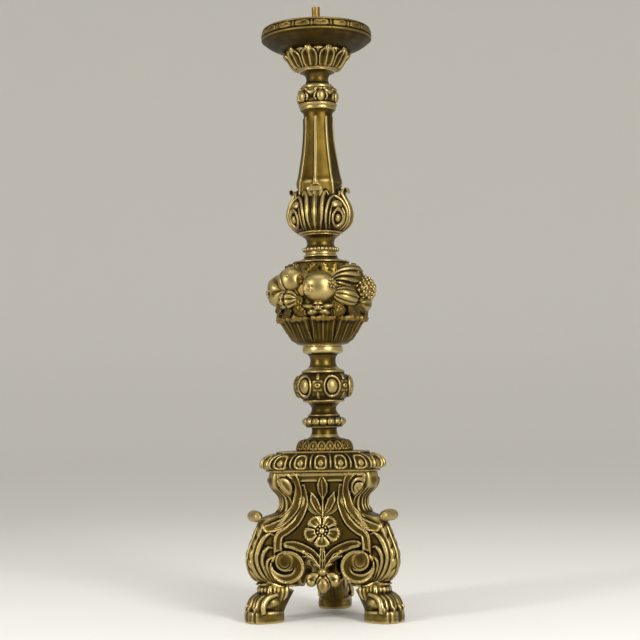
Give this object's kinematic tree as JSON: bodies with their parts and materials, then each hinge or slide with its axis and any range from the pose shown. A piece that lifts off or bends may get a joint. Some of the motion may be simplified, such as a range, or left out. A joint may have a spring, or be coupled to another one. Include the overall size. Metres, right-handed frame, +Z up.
{
  "type": "torchere candle stand",
  "caption": "Carved and gilt torchere candle stand with a drip pan, a turned and fluted column with a fruit-filled vase, and a triangular scrolled base on lion paw feet.",
  "frame": {"origin": "on the floor, under the middle of the whole stand's box; the column's axis stands 25 mm from it towards -Y", "axes": "+Z up the column, -Y out of the base's front face, +X to the right seen from the front"},
  "size_m": [0.2618, 0.235, 1.0076],
  "materials": {
    "gilt_wood": "antique gold leaf over red bole and gesso, rubbed and patinated",
    "bright_gilt_wood": "burnished antique gold leaf",
    "worn_gilt_wood": "darkened gold leaf with brown patina",
    "brass_fittings": "aged brass"
  },
  "bodies": {
    "root": {"panel_front": "gilt_wood", "rosette_front": "bright_gilt_wood", "pendant_front": "gilt_wood", "scroll_post_front_right": "gilt_wood", "paw_foot_front_right": "bright_gilt_wood", "panel_right": "gilt_wood", "rosette_right": "bright_gilt_wood", "pendant_right": "gilt_wood", "scroll_post_rear": "gilt_wood", "paw_foot_rear": "bright_gilt_wood", "panel_left": "gilt_wood", "rosette_left": "bright_gilt_wood", "pendant_left": "gilt_wood", "scroll_post_front_left": "gilt_wood", "paw_foot_front_left": "bright_gilt_wood", "top_plate": "gilt_wood", "tongue_ring": "worn_gilt_wood", "gadroon_stem": "gilt_wood", "cabochon_knop": "gilt_wood", "basket_spool": "bright_gilt_wood", "leaf_basket": "worn_gilt_wood", "fruit_vase": "worn_gilt_wood", "vase_collar": "bright_gilt_wood", "bead_spool": "bright_gilt_wood", "acanthus_bulb": "gilt_wood", "fluted_shaft": "gilt_wood", "bean_knop": "gilt_wood", "upper_spool": "bright_gilt_wood", "leaf_cup": "gilt_wood", "drip_pan": "worn_gilt_wood", "pomegranate_front": "gilt_wood", "peach_left": "gilt_wood", "quince_left": "gilt_wood", "husk_right": "gilt_wood", "grapes_right": "gilt_wood", "melon_right": "gilt_wood", "nuts_left": "gilt_wood", "fig_right": "gilt_wood", "blossom_front": "gilt_wood", "apple_rear_right": "gilt_wood", "pomegranate_rear": "gilt_wood", "husk_rear": "gilt_wood", "grapes_rear_left": "gilt_wood", "melon_rear": "gilt_wood", "fig_rear_left": "gilt_wood", "tube_washer": "brass_fittings", "tube_locknut": "brass_fittings", "candle_tube": "brass_fittings"}
  },
  "joints": []
}
